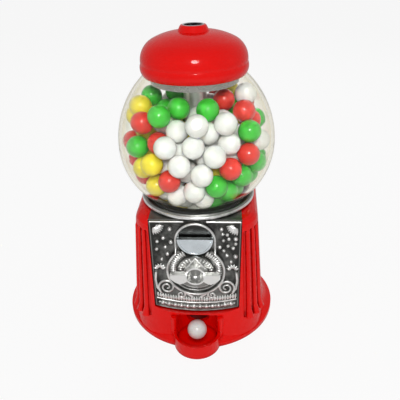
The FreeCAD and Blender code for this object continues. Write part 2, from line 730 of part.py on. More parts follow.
def handle():
    """Wing handle on the dial, and the shaft that carries the coin wheel, pinion and clip."""
    dial_back = dial_seat_y - S.border_lift + S.dial_gap
    dial_front = dial_back + S.dial_t
    part(rod_y("dial_disc", S.dial_r, dial_front, dial_back, 0, S.shaft_z), "dial_disc")
    wing_back = dial_front + S.hub_len * 0.3
    hub = rod_y("handle_hub", S.hub_r, wing_back + S.wing_t * 0.6, dial_front, 0, S.shaft_z)
    knob = bind(doc.addObject("Part::Sphere", "handle_knob"), Radius=S.knob_r)
    place(knob, 0, -wing_back - S.wing_t * 0.6, S.shaft_z)
    body = new_body("handle_wings")
    reach = S.wing_span * 0.5
    tip = S.wing_top - S.wing_edge
    dip = S.wing_top - S.wing_h
    bend = (S.wing_h * 1.6, -1)
    outline = profile(body, "wing_outline", "XZ_Plane", [
        (-reach, S.wing_top), (-reach, tip, bend), (reach * -0.62, dip, bend), (reach * -0.2, tip),
        (reach * 0.2, tip, bend), (reach * 0.62, dip, bend), (reach, tip), (reach, S.wing_top)])
    pad(body, "wing_pad", outline, S.wing_t)
    place(body, 0, -wing_back, S.shaft_z)
    part(fuse("turn_handle", hub, knob, body), "turn_handle")
    part(rod_y("handle_shaft", S.shaft_r, dial_back, shaft_back_y, 0, S.shaft_z), "handle_shaft")
    grip_r = S.shaft_r + S.run_gap
    far = coin_wheel_y
    disc = rod_y("coin_wheel_round", S.coin_wheel_r, far, far - S.coin_wheel_t, 0, S.shaft_z)
    notch = rod_y("coin_notch", S.coin_r + S.fit_gap, far + 1, far - S.coin_wheel_t - 1, 0, S.lip_top_z)
    bore = rod_y("coin_wheel_bore", grip_r, far + 1, far - S.coin_wheel_t - 1, 0, S.shaft_z)
    part(cut("coin_wheel", disc, notch, bore), "coin_wheel")
    pinion(grip_r)
    clip_y = shaft_back_y + 2
    clip = rod_y("clip_round", S.clip_r, clip_y, clip_y - S.clip_t, 0, S.shaft_z)
    part(cut("shaft_clip", clip, rod_y("clip_bore", grip_r, clip_y + 1, clip_y - S.clip_t - 1, 0, S.shaft_z)),
         "shaft_clip")


def pinion(bore):
    """Narrow-toothed pinion that turns the wheel by its pegs."""
    body = new_body("drive_pinion")
    core = body.newObject("Sketcher::SketchObject", "pinion_core")
    core.AttachmentSupport = [(plane_of(body, "XZ_Plane"), "")]
    core.MapMode = "FlatFace"
    ring(core, S.pinion_root_r, 0, 0)
    ring(core, bore, 0, 0)
    pad(body, "pinion_disc", core, S.pinion_t)
    half = S.tooth_w * 0.5
    tooth = profile(body, "pinion_tooth", "XZ_Plane", [
        (-half, S.pinion_root_r - 0.4), (half, S.pinion_root_r - 0.4), (half, S.tooth_tip_r), (-half, S.tooth_tip_r)])
    grown = pad(body, "pinion_tooth_pad", tooth, S.pinion_t)
    pattern(body, "pinion_teeth", grown, TEETH)
    place(body, 0, -peg_pitch + S.pinion_t * 0.5, S.shaft_z)
    part(body, "drive_pinion")


def chute():
    """Bent pipe from the hopper's outlet to the hole at the back of the cup's niche."""
    angle = math.radians(S.exit_angle.value)
    top = FreeCAD.Vector(pocket_pitch.value * math.cos(angle), pocket_pitch.value * math.sin(angle),
                         S.chute_bend_z.value)
    end = FreeCAD.Vector(0, -cavity_front.value, S.outlet_z.value)
    run = end - top

    def pipe(tag, radius, extra):
        drop = bind(doc.addObject("Part::Cylinder", "chute_drop_" + tag), Radius=radius)
        drop.Height = S.floor_low_z.value - top.z + extra
        drop.Placement.Base = top
        bend = bind(doc.addObject("Part::Sphere", "chute_bend_" + tag), Radius=radius)
        bend.Placement.Base = top
        slide = bind(doc.addObject("Part::Cylinder", "chute_slide_" + tag), Radius=radius)
        slide.Height = run.Length + radius.value + extra
        slide.Placement = FreeCAD.Placement(top, FreeCAD.Rotation(FreeCAD.Vector(0, 0, 1), run))
        return fuse("chute_" + tag, drop, bend, slide)

    wide = S.foot_r
    front = box("chute_front", wide * 2, wide, wide, -wide, -cavity_front + S.fit_gap - wide, 0)
    outer = pipe("outer", S.outlet_r + S.chute_wall, 0)
    part(cut("ball_chute", outer, pipe("inner", S.outlet_r, 1), front), "ball_chute")


def faceted_ball(centre, radius):
    """Twenty-sided stand-in with its corners on the ball's surface."""
    gold = (1 + math.sqrt(5)) / 2
    raw = [(0, a, b * gold) for a in (-1, 1) for b in (-1, 1)]
    raw += [(a, b * gold, 0) for a in (-1, 1) for b in (-1, 1)]
    raw += [(b * gold, 0, a) for a in (-1, 1) for b in (-1, 1)]
    corners = [FreeCAD.Vector(*p).normalize() * radius + centre for p in raw]
    edge = min((corners[0] - c).Length for c in corners[1:]) * 1.01
    faces = []
    for i in range(12):
        for j in range(i + 1, 12):
            for k in range(j + 1, 12):
                three = [corners[i], corners[j], corners[k]]
                if all((three[m] - three[m - 1]).Length < edge for m in range(3)):
                    faces.append(Part.Face(Part.makePolygon(three + three[:1])))
    solid = Part.Solid(Part.Shell(faces))
    if solid.Volume < 0:
        solid.reverse()
    return solid


def inner_r(z):
    """Glass radius inside the globe at a height."""
    rise = z - S.globe_mid_z.value
    arc = S.globe_low_arc.value if rise < 0 else S.globe_high_arc.value
    room = (arc - S.glass_wall.value) ** 2 - rise ** 2
    return S.globe_r.value - arc + math.sqrt(max(room, 0.0))


BALL_LAYERS = 6
COLOURS = ("white", "green", "red", "yellow", "white", "white", "red")


def gumballs():
    """Rings of balls round the tube, layer on layer, shared out among four colours."""
    radius = S.ball_r.value
    step = radius * 2 + S.run_gap.value
    piles = {name: [] for name in sorted(set(COLOURS))}
    count = 0
    first = S.wiper_z.value + S.wiper_t.value + radius + S.run_gap.value
    for layer in range(BALL_LAYERS):
        z = first + layer * step
        ends_z = (z - radius * 0.6, z, z + radius * 0.6)
        wall = min(inner_r(h) if h > S.globe_foot_z.value else S.well_r.value for h in ends_z)
        ring_r = wall - radius - S.fit_gap.value
        while ring_r > S.tube_r.value + radius + S.run_gap.value:
            spots = int(math.pi / math.asin(step / 2 / ring_r))
            for i in range(spots):
                angle = 2 * math.pi * (i + 0.37 * layer) / spots
                centre = FreeCAD.Vector(ring_r * math.cos(angle), ring_r * math.sin(angle), z)
                piles[COLOURS[(count * 3 + layer) % len(COLOURS)]].append(faceted_ball(centre, radius))
                count += 1
            ring_r -= step
    for name, balls in piles.items():
        pile = doc.addObject("Part::Feature", "gumballs_" + name)
        pile.Shape = Part.makeCompound(balls)
        part(pile, "gumballs_" + name)
    loose = bind(doc.addObject("Part::Sphere", "dispensed_gumball"), Radius=S.ball_r)
    place(loose, 0, -S.cup_y + 2, S.cup_floor_z + S.ball_r + S.run_gap)
    part(loose, "dispensed_gumball")


def export():
    """Check every object, then write one file for each sub-part."""
    doc.recompute()
    for obj in doc.Objects:
        if "Invalid" in obj.State or "Error" in obj.State:
            raise RuntimeError("failed: %s %s" % (obj.Name, obj.State))
    for obj in PARTS:
        if obj.Shape.isNull() or not obj.Shape.isValid():
            raise RuntimeError("bad shape: " + obj.Label)
    os.makedirs("parts", exist_ok=True)
    for obj in PARTS:
        obj.Shape.exportStep(os.path.join("parts", obj.Label + ".step"))
        print("%-20s solids %3d  volume %9.1f" % (obj.Label, len(obj.Shape.Solids), obj.Shape.Volume))


neck = globe()
lid(neck)
lock()
hopper()
wheel()
casting()
base_hardware()
front_plate()
mechanism_frame()
handle()
chute()
gumballs()
export()
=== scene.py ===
import math
import random

import bpy
import numpy as np
from mathutils import Matrix, Vector

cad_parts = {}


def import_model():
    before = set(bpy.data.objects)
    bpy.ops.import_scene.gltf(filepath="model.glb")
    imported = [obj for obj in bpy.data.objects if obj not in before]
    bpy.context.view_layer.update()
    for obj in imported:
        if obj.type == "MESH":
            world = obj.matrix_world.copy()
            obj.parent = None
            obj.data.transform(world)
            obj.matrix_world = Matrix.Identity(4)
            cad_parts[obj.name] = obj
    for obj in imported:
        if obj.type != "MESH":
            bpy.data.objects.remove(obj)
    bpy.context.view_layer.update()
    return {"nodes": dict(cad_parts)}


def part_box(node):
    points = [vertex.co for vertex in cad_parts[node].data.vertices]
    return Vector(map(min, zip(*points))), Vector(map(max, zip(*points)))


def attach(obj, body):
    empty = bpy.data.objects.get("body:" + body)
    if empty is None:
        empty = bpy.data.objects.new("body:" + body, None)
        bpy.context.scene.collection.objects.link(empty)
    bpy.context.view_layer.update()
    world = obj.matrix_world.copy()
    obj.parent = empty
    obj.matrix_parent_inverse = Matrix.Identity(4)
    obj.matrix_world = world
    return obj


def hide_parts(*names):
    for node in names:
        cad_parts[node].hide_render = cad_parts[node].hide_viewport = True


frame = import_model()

nodes = frame["nodes"]
MM = 0.001

# Sizes shared with the solids, in millimetres; the lean is in radians, the flutes' spacing in degrees
GLOBE_R = 59.0
GLOBE_MID = 155.0
LOW_ARC = 53.0
HIGH_ARC = 68.0
GLASS = 2.5
TUBE_R = 8.4
WELL_R = 32.5
WHEEL_GUARD_Z = 95.4
LID_EDGE_Z = 205.9
PLATE_LEAN = math.radians(4.9)
PLATE_BACK = 48.2
PLATE_T = 3.0
PLATE_LOW = 32.0
PLATE_TOP = 108.2
PLATE_BOW = 5.0
PLATE_HALF_LOW = 33.5
PLATE_HALF_TOP = 35.0
SHAFT_Z = 66.0
SEAT_R = 22.6
SEAT_Y = 48.4
LOBE_Z = 92.0
LOBE_R = 15.6
LOBE_Y = 45.2
DIAL_Y = 49.2
DIAL_R = 14.3
HUB_R = 8.0
LIP_Z = 94.5
LIP_R = 13.5
LIP_Y = 47.2
RIM_R = 44.0
BODY_TOP = 108.5
BODY_HALF = (55.0, 47.0)
CORNER_R = (36.0, 24.0)
FLUTE_START = 14.0
FLUTE_STEP = 13.5
FLUTES = 4

# Gumballs, in millimetres: their size and the slack between them and what holds them
BALL_R = 7.9
BALL_GAP = 0.05
GLASS_GAP = 0.15
WELL_GAP = 0.2
TUBE_GAP = 0.1

# Pouring: highest centre of a ball, most balls, places tried for each, and a height that means no room
HEAP_TOP = 190.0
MOST_BALLS = 200
DROPS_TRIED = 1600
NO_ROOM = 999.0

# Where the shades gather in the globe, in millimetres
FRONT_Y = -8
GREEN_X = 10
GREEN_TOP = 139
WHITE_MID_X = -1
WHITE_HALF = 26
WHITE_TOP = 182
SIDE_X = 24

# Ornament of the plate, in millimetres: places are x and z on its right half
SHELL_AT = (31.5, 104.5)
TUFT_AT = (28.2, 66.0)
VOLUTE_AT = (23.2, 50.2)
VOLUTE_STEM = [(31.2, 64), (31.9, 57), (31.0, 49.5)]
CURL_AT = (12.2, 43.4)
CURL_STEM = [(3.0, 41.0), (6.5, 43.6)]
EDGE_INSET = 1.2
SIDE_INSET = 1.0
LINE_RISE = 0.1
LEAF_RISE = 0.25
SCROLL_RISE = 0.5
EYE_RISE = 0.4
SCROLL_SHRINK = 0.86
STEPS_PER_TURN = 26
SEAT_DEPTH = 1.6
BORDER_NEAR = 15.4
BORDER_FAR = 20.2
SEAT_RING_R = (16.4, 19.2)
LIP_CLEARANCE = 1.0
KEYHOLE_INSET = 0.7
SHOULDER_RISE = 1.2
TOP_LINE_END = 8.5
BAND_HALF = 31.5
BAND_RISE = 8.3
LEAF_ROW_HALF = 30.4
LEAF_ROW_RISE = 9.6
LEAF_ROW_TALL = 4.2
SHELF_INSET = 0.3
BEADS = 46
BEAD_TRIES = 8000
BEAD_SIZE = (1.3, 1.95)
BEAD_RISE = 0.05
LEFT_SPACING = 1.9
RIGHT_SPACING = 1.3
FIELD_Z = (58, 103)
FIELD_INSET = 4
BEAD_ROW_HALF = 29.8
BEAD_ROW_RISE = 4.7
BEAD_ROW_SIZES = (0.95, 1.65)
SEAT_ROOM = 2.6
LOBE_ROOM = 2.8
SHELL_ROOM = 10.5
TUFT_ROOM = 7.0
VOLUTE_ROOM = 9.8
STEM_X = 28

# Ribs of the front corners, in millimetres
REED_LOW = 19.0
REED_TOP = 101.5
REED_FLARE_Z = 26.0
REED_SINK = 0.9
REED_SPREAD = 1.2

# Reach of the painted shade that darkens the red in the hollows of the casting, in millimetres
PAINTED_SHADE_REACH = 6.0

# Largest turn of a round grain about each axis, in radians
GRAIN_TURN = 6.283

# White surroundings: the share that polished faces show, and the strength as light and as background
MIRRORED_SHARE = 0.34
SKY_STRENGTH = (0.25, 0.93)

# Floor: its share of the white, half its side and its drop in metres
FLOOR_WHITE = 0.9
FLOOR_HALF = 3.0
FLOOR_DROP = 0.0002

# Camera fitted to the photograph: lens in millimetres, shift in pixels, angles in degrees, places in metres
PHOTO_SIDE = 400
SENSOR = 36.0
LENS = 42.88
SHIFT = (1.3, 9.22)
CAMERA_ANGLES = (4.4, 29.76, -1.73)
CAMERA_AIM = (0, 0, 0.09367)
CAMERA_DISTANCE = 0.3943


# Node helpers

def new_material(name):
    mat = bpy.data.materials.new(name)
    mat.use_nodes = True
    tree = mat.node_tree
    return mat, tree, tree.nodes["Principled BSDF"]


def add(tree, kind, **values):
    """New node; each value goes to the input of that name, or else to the node's own setting."""
    node = tree.nodes.new(kind)
    for key, value in values.items():
        if key in node.inputs:
            node.inputs[key].default_value = value
        else:
            setattr(node, key, value)
    return node


def socket(sockets, identifier):
    return next(s for s in sockets if s.identifier == identifier)


def reckon(tree, operation, *values):
    """Result of a Math node on sockets and plain numbers."""
    node = add(tree, "ShaderNodeMath", operation=operation)
    for target, value in zip(node.inputs, values):
        if isinstance(value, (int, float)):
            target.default_value = value
        else:
            tree.links.new(value, target)
    return node.outputs[0]


def mixer(tree, blend):
    """Colour mix node with its factor, its two colours and its result."""
    node = add(tree, "ShaderNodeMix", data_type="RGBA", blend_type=blend)
    factor, first, second = (socket(node.inputs, key) for key in ("Factor_Float", "A_Color", "B_Color"))
    return factor, first, second, socket(node.outputs, "Result_Color")


def local_coords(tree):
    return add(tree, "ShaderNodeTexCoord").outputs["Object"]


def noise(tree, scale, detail=4.0, rough=0.55):
    node = add(tree, "ShaderNodeTexNoise", Scale=scale, Detail=detail, Roughness=rough)
    tree.links.new(local_coords(tree), node.inputs["Vector"])
    return node.outputs["Fac"]


def ramp(tree, source, stops):
    node = add(tree, "ShaderNodeValToRGB")
    band = node.color_ramp
    while len(band.elements) < len(stops):
        band.elements.new(0.5)
    for element, (at, colour) in zip(band.elements, stops):
        element.position = at
        element.color = (*colour, 1.0)
    tree.links.new(source, node.inputs["Fac"])
    return node.outputs["Color"]


def span(tree, source, low, high):
    node = add(tree, "ShaderNodeMapRange")
    node.inputs["To Min"].default_value = low
    node.inputs["To Max"].default_value = high
    tree.links.new(source, node.inputs["Value"])
    return node.outputs["Result"]


def fix(shader, values):
    """Inputs that are the same all over the surface."""
    for key, value in values.items():
        shader.inputs[key].default_value = value


def mottled(tree, shader, scale, stops):
    """Base colour that wanders along a ramp with a soft noise."""
    tree.links.new(ramp(tree, noise(tree, scale), stops), shader.inputs["Base Color"])


def uneven_gloss(tree, shader, scale, low, high):
    tree.links.new(span(tree, noise(tree, scale), low, high), shader.inputs["Roughness"])


def bump(tree, shader, source, depth_mm):
    node = add(tree, "ShaderNodeBump", Strength=1.0, Distance=depth_mm * MM)
    tree.links.new(source, node.inputs["Height"])
    tree.links.new(node.outputs["Normal"], shader.inputs["Normal"])


def blend_surfaces(tree, share, first, second):
    """Surface that goes from the first shader to the second as the share goes from 0 to 1."""
    mix = add(tree, "ShaderNodeMixShader")
    tree.links.new(share, mix.inputs["Fac"])
    tree.links.new(first.outputs[0], mix.inputs[1])
    tree.links.new(second.outputs[0], mix.inputs[2])
    tree.links.new(mix.outputs[0], tree.nodes["Material Output"].inputs["Surface"])


# Finishes

def gloss_red(name, shaded_bare_below=None):
    """Glossy enamel with painted shade that darkens it in the hollows; under the given height the metal is
    left bare, in a dark grey that paints the shade under the lid.
    """
    mat, tree, bsdf = new_material(name)
    enamel = ramp(tree, noise(tree, 18.0), [(0.3, (0.89, 0.002, 0.001)), (0.7, (0.97, 0.004, 0.002))])
    # Painted shade: ambient occlusion darkens the red in the grooves and hollows.
    occlusion = add(tree, "ShaderNodeAmbientOcclusion", Distance=PAINTED_SHADE_REACH * MM, samples=8).outputs["AO"]
    groove_shade = ramp(tree, occlusion, [(0.3, (0.36, 0.36, 0.36)), (0.75, (1.0, 1.0, 1.0))])
    factor, first, second, colour = mixer(tree, "MULTIPLY")
    factor.default_value = 1.0
    tree.links.new(enamel, first)
    tree.links.new(groove_shade, second)
    if shaded_bare_below:
        place = add(tree, "ShaderNodeSeparateXYZ")
        tree.links.new(local_coords(tree), place.inputs["Vector"])
        shaded_bare = reckon(tree, "LESS_THAN", place.outputs["Z"], shaded_bare_below * MM)
        factor, first, second, mixed = mixer(tree, "MIX")
        tree.links.new(shaded_bare, factor)
        tree.links.new(colour, first)
        # Painted shade: the bare skirt is a dark grey so that it reads as the shadowed gap under the lid.
        second.default_value = (0.30, 0.30, 0.29, 1.0)
        tree.links.new(shaded_bare, bsdf.inputs["Metallic"])
        colour = mixed
    tree.links.new(colour, bsdf.inputs["Base Color"])
    uneven_gloss(tree, bsdf, 140.0, 0.2, 0.34)
    fix(bsdf, {"Specular IOR Level": 0.04, "Coat Weight": 0.42, "Coat Roughness": 0.07})
    bump(tree, bsdf, noise(tree, 420.0, 2.0), 0.05)
    return mat


def aged_metal(name, dark, light, rough=(0.25, 0.5)):
    """Cast metal: dark stain with painted shade in the hollows, rubbed bright with a painted highlight on
    the high edges.
    """
    mat, tree, bsdf = new_material(name)
    fix(bsdf, {"Metallic": 1.0})
    edge = add(tree, "ShaderNodeNewGeometry").outputs["Pointiness"]
    # Painted light: Pointiness darkens the hollows as painted shade and brightens the high edges as a
    # painted highlight, mixed with noise.
    wear_and_painted_light = reckon(tree, "MULTIPLY_ADD", noise(tree, 160.0), 0.22, edge)
    tree.links.new(ramp(tree, wear_and_painted_light, [(0.55, dark), (0.68, light)]), bsdf.inputs["Base Color"])
    uneven_gloss(tree, bsdf, 260.0, *rough)
    bump(tree, bsdf, noise(tree, 700.0, 3.0), 0.12)
    return mat


def plain_metal(name, colour, rough):
    mat, tree, bsdf = new_material(name)
    fix(bsdf, {"Metallic": 1.0})
    dull = tuple(c * 0.82 for c in colour)
    mottled(tree, bsdf, 60.0, [(0.35, dull), (0.65, colour)])
    uneven_gloss(tree, bsdf, 220.0, rough * 0.7, rough * 1.3)
    bump(tree, bsdf, noise(tree, 500.0, 2.0), 0.02)
    return mat


def sugar_shell(name, colour):
    """Polished candy shell with faint mottling and a waxy gloss."""
    mat, tree, bsdf = new_material(name)
    pale = tuple(min(1.0, c * 1.1 + 0.02) for c in colour)
    deep = tuple(c * 0.86 for c in colour)
    mottled(tree, bsdf, 110.0, [(0.3, deep), (0.7, pale)])
    uneven_gloss(tree, bsdf, 320.0, 0.32, 0.42)
    fix(bsdf, {"Specular IOR Level": 0.15, "Coat Weight": 0.8, "Coat Roughness": 0.15})
    fix(bsdf, {"Subsurface Weight": 0.08, "Subsurface Radius": (0.002, 0.0015, 0.001)})
    bump(tree, bsdf, noise(tree, 380.0, 3.0), 0.02)
    return mat


def moulded_plastic(name, colour, rough):
    mat, tree, bsdf = new_material(name)
    deep = tuple(c * 0.9 for c in colour)
    mottled(tree, bsdf, 50.0, [(0.35, deep), (0.65, colour)])
    uneven_gloss(tree, bsdf, 300.0, rough * 0.85, rough * 1.15)
    bump(tree, bsdf, noise(tree, 900.0, 2.0), 0.03)
    return mat


def clear_glass(name):
    """Clear wall with a straw tint on the slant that paints a coloured backdrop seen through the glass;
    shadow rays pass it, so that the balls inside stay bright.
    """
    mat, tree, bsdf = new_material(name)
    # Painted reflection: the straw tint on the slant paints a coloured backdrop seen through the glass.
    slant = add(tree, "ShaderNodeLayerWeight", Blend=0.3).outputs["Facing"]
    painted_backdrop_tint = ramp(tree, slant, [(0.25, (0.98, 0.98, 0.96)), (0.8, (0.66, 0.57, 0.30))])
    tree.links.new(painted_backdrop_tint, bsdf.inputs["Base Color"])
    fix(bsdf, {"Transmission Weight": 1.0, "IOR": 1.22})
    uneven_gloss(tree, bsdf, 30.0, 0.0, 0.03)
    bump(tree, bsdf, noise(tree, 24.0, 1.0), 0.03)
    shadow = add(tree, "ShaderNodeLightPath").outputs["Is Shadow Ray"]
    through = add(tree, "ShaderNodeBsdfTransparent", Color=(0.95, 0.97, 0.96, 1.0))
    blend_surfaces(tree, shadow, bsdf, through)
    return mat


RED = gloss_red("gloss_red_enamel")
LID_RED = gloss_red("lid_red_enamel", shaded_bare_below=LID_EDGE_Z)
# The bright pewter on the raised ornament is partly rubbed wear and partly a painted highlight.
PEWTER_DARK = aged_metal("stained_and_shaded_pewter", (0.05, 0.05, 0.047), (0.30, 0.30, 0.285))
PEWTER_BRIGHT = aged_metal("rubbed_and_lit_pewter", (0.24, 0.24, 0.23), (0.95, 0.95, 0.93), (0.22, 0.42))
POLISHED = plain_metal("polished_lip", (0.84, 0.91, 0.95), 0.26)
SATIN = plain_metal("satin_tube", (0.93, 0.93, 0.91), 0.5)
CHROME = plain_metal("chrome_plate", (0.82, 0.82, 0.83), 0.08)
ZINC = plain_metal("zinc_plate", (0.52, 0.52, 0.52), 0.36)
BRASS = plain_metal("turned_brass", (0.62, 0.46, 0.18), 0.28)
PLASTIC = moulded_plastic("cream_nylon", (0.74, 0.72, 0.66), 0.45)
RUBBER = moulded_plastic("grey_rubber", (0.07, 0.07, 0.07), 0.6)
CHUTE_RED = moulded_plastic("dark_red_plastic", (0.16, 0.003, 0.002), 0.5)
GLOBE_GLASS = clear_glass("blown_glass")
CANDY = {
    "white": sugar_shell("candy_white", (0.86, 0.86, 0.83)),
    "red": sugar_shell("candy_red", (0.70, 0.02, 0.005)),
    "green": sugar_shell("candy_green", (0.03, 0.50, 0.018)),
    "yellow": sugar_shell("candy_yellow", (0.84, 0.70, 0.012)),
}

FINISH = {
    RED: ["base_casting"],
    LID_RED: ["lid"],
    PEWTER_DARK: ["front_plate", "hopper", "dial_disc"],
    PEWTER_BRIGHT: ["turn_handle"],
    POLISHED: ["coin_lip"],
    SATIN: ["centre_tube"],
    CHROME: ["lock_bezel", "lock_plug"],
    ZINC: ["base_cover", "rod_washer", "rod_nut", "tie_rod", "mechanism_frame", "pocket_wiper",
           "handle_shaft", "coin_wheel", "shaft_clip", "lock_tail"],
    BRASS: ["rear_bushing", "front_bushing", "drive_pinion"],
    PLASTIC: ["hub_post", "dispensing_wheel"],
    CHUTE_RED: ["ball_chute"],
    RUBBER: ["globe_gasket"],
    GLOBE_GLASS: ["glass_globe"],
}

# Softened edges of the castings and pressings, in millimetres
EDGE_WIDTH = {
    "base_casting": 0.7, "front_plate": 0.35, "turn_handle": 0.9, "dial_disc": 0.4,
    "coin_lip": 0.5, "hopper": 0.4, "lid": 0.4, "lock_plug": 0.2,
}


def dress(obj, mat):
    obj.data.materials.clear()
    obj.data.materials.append(mat)


def dress_solids():
    for finish, names in FINISH.items():
        for name in names:
            dress(nodes[name], finish)
    for name, width in EDGE_WIDTH.items():
        soft = nodes[name].modifiers.new("soft_edges", "BEVEL")
        soft.width = width * MM
        soft.segments = 3
        soft.limit_method = "ANGLE"
        soft.angle_limit = math.radians(32)
        soft.harden_normals = False


dress_solids()


# Geometry Nodes

def geometry_group(name, inputs):
    """Node group with named inputs, given as name: (socket type, value); also their identifiers."""
    tree = bpy.data.node_groups.new(name, "GeometryNodeTree")
    face = tree.interface
    face.new_socket("Geometry", in_out="INPUT", socket_type="NodeSocketGeometry")
    keys = {}
    for label, (kind, value) in inputs.items():
        item = face.new_socket(label, in_out="INPUT", socket_type=kind)
        item.default_value = value
        keys[label] = item.identifier
    face.new_socket("Geometry", in_out="OUTPUT", socket_type="NodeSocketGeometry")
    return tree, keys


def end_group(tree, shape, mat):
    """Last nodes of a group: real geometry, smooth faces and the finish."""
    real = add(tree, "GeometryNodeRealizeInstances")
    smooth = add(tree, "GeometryNodeSetShadeSmooth")
    paint = add(tree, "GeometryNodeSetMaterial", Material=mat)
    end = add(tree, "NodeGroupOutput")
    tree.links.new(shape, real.inputs["Geometry"])
    tree.links.new(real.outputs["Geometry"], smooth.inputs["Geometry"])
    tree.links.new(smooth.outputs["Geometry"], paint.inputs["Geometry"])
    tree.links.new(paint.outputs["Geometry"], end.inputs["Geometry"])


def grain_group(name, mat):
    """Round grains on the points of a mesh, each scaled by its own grain attribute."""
    tree, keys = geometry_group(name, {
        "Radius": ("NodeSocketFloat", 1.0),
        "Smoothness": ("NodeSocketInt", 3),
        "Seed": ("NodeSocketInt", 11),
    })
    start = add(tree, "NodeGroupInput").outputs
    ball = add(tree, "GeometryNodeMeshIcoSphere")
    size = add(tree, "GeometryNodeInputNamedAttribute", data_type="FLOAT", Name="grain")
    turn = add(tree, "FunctionNodeRandomValue", data_type="FLOAT_VECTOR")
    socket(turn.inputs, "Max").default_value = (GRAIN_TURN, GRAIN_TURN, GRAIN_TURN)
    place = add(tree, "GeometryNodeInstanceOnPoints")
    tree.links.new(start["Radius"], ball.inputs["Radius"])
    tree.links.new(start["Smoothness"], ball.inputs["Subdivisions"])
    tree.links.new(start["Seed"], turn.inputs["Seed"])
    tree.links.new(start["Geometry"], place.inputs["Points"])
    tree.links.new(ball.outputs["Mesh"], place.inputs["Instance"])
    tree.links.new(size.outputs["Attribute"], place.inputs["Scale"])
    tree.links.new(turn.outputs["Value"], place.inputs["Rotation"])
    end_group(tree, place.outputs["Instances"], mat)
    return tree, keys


def moulding_group(name, mat):
    """Round section along the runs of a curve, swelled by the radius of each point."""
    tree, keys = geometry_group(name, {
        "Thickness": ("NodeSocketFloat", MM),
        "Sides": ("NodeSocketInt", 12),
    })
    start = add(tree, "NodeGroupInput").outputs
    section = add(tree, "GeometryNodeCurvePrimitiveCircle")
    swell = add(tree, "GeometryNodeInputRadius")
    sweep = add(tree, "GeometryNodeCurveToMesh")
    sweep.inputs["Fill Caps"].default_value = True
    tree.links.new(start["Sides"], section.inputs["Resolution"])
    tree.links.new(start["Thickness"], section.inputs["Radius"])
    tree.links.new(start["Geometry"], sweep.inputs["Curve"])
    tree.links.new(section.outputs["Curve"], sweep.inputs["Profile Curve"])
    tree.links.new(swell.outputs["Radius"], sweep.inputs["Scale"])
    end_group(tree, sweep.outputs["Mesh"], mat)
    return tree, keys


def place_object(name, data):
    obj = bpy.data.objects.new(name, data)
    bpy.context.collection.objects.link(obj)
    return obj


def grow(name, data, group, values, mat):
    """Plain mesh object of what the node group makes from a mesh or a curve."""
    tree, keys = group
    source = place_object(name + "_source", data)
    modifier = source.modifiers.new(tree.name, "NODES")
    modifier.node_group = tree
    for label, value in values.items():
        modifier[keys[label]] = value
    graph = bpy.context.evaluated_depsgraph_get()
    mesh = bpy.data.meshes.new_from_object(source.evaluated_get(graph))
    mesh.name = name
    bpy.data.objects.remove(source, do_unlink=True)
    obj = place_object(name, mesh)
    dress(obj, mat)
    return obj


def scattered(name, points, sizes, radius, mat, smoothness):
    """Grains of one finish at the given points, in millimetres."""
    mesh = bpy.data.meshes.new(name + "_points")
    mesh.from_pydata([tuple(c * MM for c in p) for p in points], [], [])
    grain = mesh.attributes.new("grain", "FLOAT", "POINT")
    grain.data.foreach_set("value", [float(s) for s in sizes])
    values = {"Radius": radius * MM, "Smoothness": smoothness}
    return grow(name, mesh, grain_group(name + "_grains", mat), values, mat)


def even(t):
    return 1.0


def wire(name, runs, thick, mat, closed=False, swell=even, body="machine"):
    """Raised lines along runs of points, in millimetres; swell gives the thickness at 0 to 1 of a run."""
    curve = bpy.data.curves.new(name, "CURVE")
    curve.dimensions = "3D"
    for run in runs:
        line = curve.splines.new("POLY")
        line.points.add(len(run) - 1)
        for i, (point, place) in enumerate(zip(line.points, run)):
            point.co = (*[c * MM for c in place], 1.0)
            point.radius = swell(i / (len(run) - 1))
        line.use_cyclic_u = closed
    made = grow(name, curve, moulding_group(name + "_section", mat), {"Thickness": thick * MM}, mat)
    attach(made, body)


# Gumballs: each one drops where it can lie lowest

def resting_height(x, y, balls):
    """Lowest height of a ball's centre at x, y over the glass and the balls already there."""
    out = np.hypot(x, y)
    room = (LOW_ARC - GLASS - BALL_R - GLASS_GAP) ** 2 - (out - (GLOBE_R - LOW_ARC)) ** 2
    glass_z = np.where(room > 0, GLOBE_MID - np.sqrt(np.maximum(room, 0)), NO_ROOM)
    lowest = np.where(out < WELL_R - BALL_R - WELL_GAP, WHEEL_GUARD_Z + BALL_R, glass_z)
    if len(balls):
        held = np.array(balls)
        gap = (x[:, None] - held[None, :, 0]) ** 2 + (y[:, None] - held[None, :, 1]) ** 2
        near = (2 * BALL_R + BALL_GAP) ** 2 - gap
        top = np.where(near > 0, held[None, :, 2] + np.sqrt(np.maximum(near, 0)), 0.0)
        lowest = np.maximum(lowest, top.max(axis=1))
    return lowest


def ceiling(out):
    """Highest centre under the upper curve of the glass."""
    bend = HIGH_ARC - GLASS - BALL_R - GLASS_GAP
    return GLOBE_MID + np.sqrt(np.maximum(bend ** 2 - (out + HIGH_ARC - GLOBE_R) ** 2, 0.0))


def pour():
    """Centres of the balls, each at the lowest of many places tried at random, until the heap is full."""
    rng = np.random.default_rng(23)
    balls = []
    inner = TUBE_R + BALL_R + TUBE_GAP
    outer = GLOBE_R - GLASS - BALL_R - GLASS_GAP
    while len(balls) < MOST_BALLS:
        out = np.sqrt(rng.uniform(inner ** 2, outer ** 2, DROPS_TRIED))
        angle = rng.uniform(0, 2 * math.pi, DROPS_TRIED)
        x, y = out * np.cos(angle), out * np.sin(angle)
        z = resting_height(x, y, balls)
        z = np.where(z > np.minimum(ceiling(out), HEAP_TOP), NO_ROOM, z)
        best = int(np.argmin(z))
        if z[best] >= NO_ROOM:
            break
        balls.append((x[best], y[best], z[best]))
    return balls


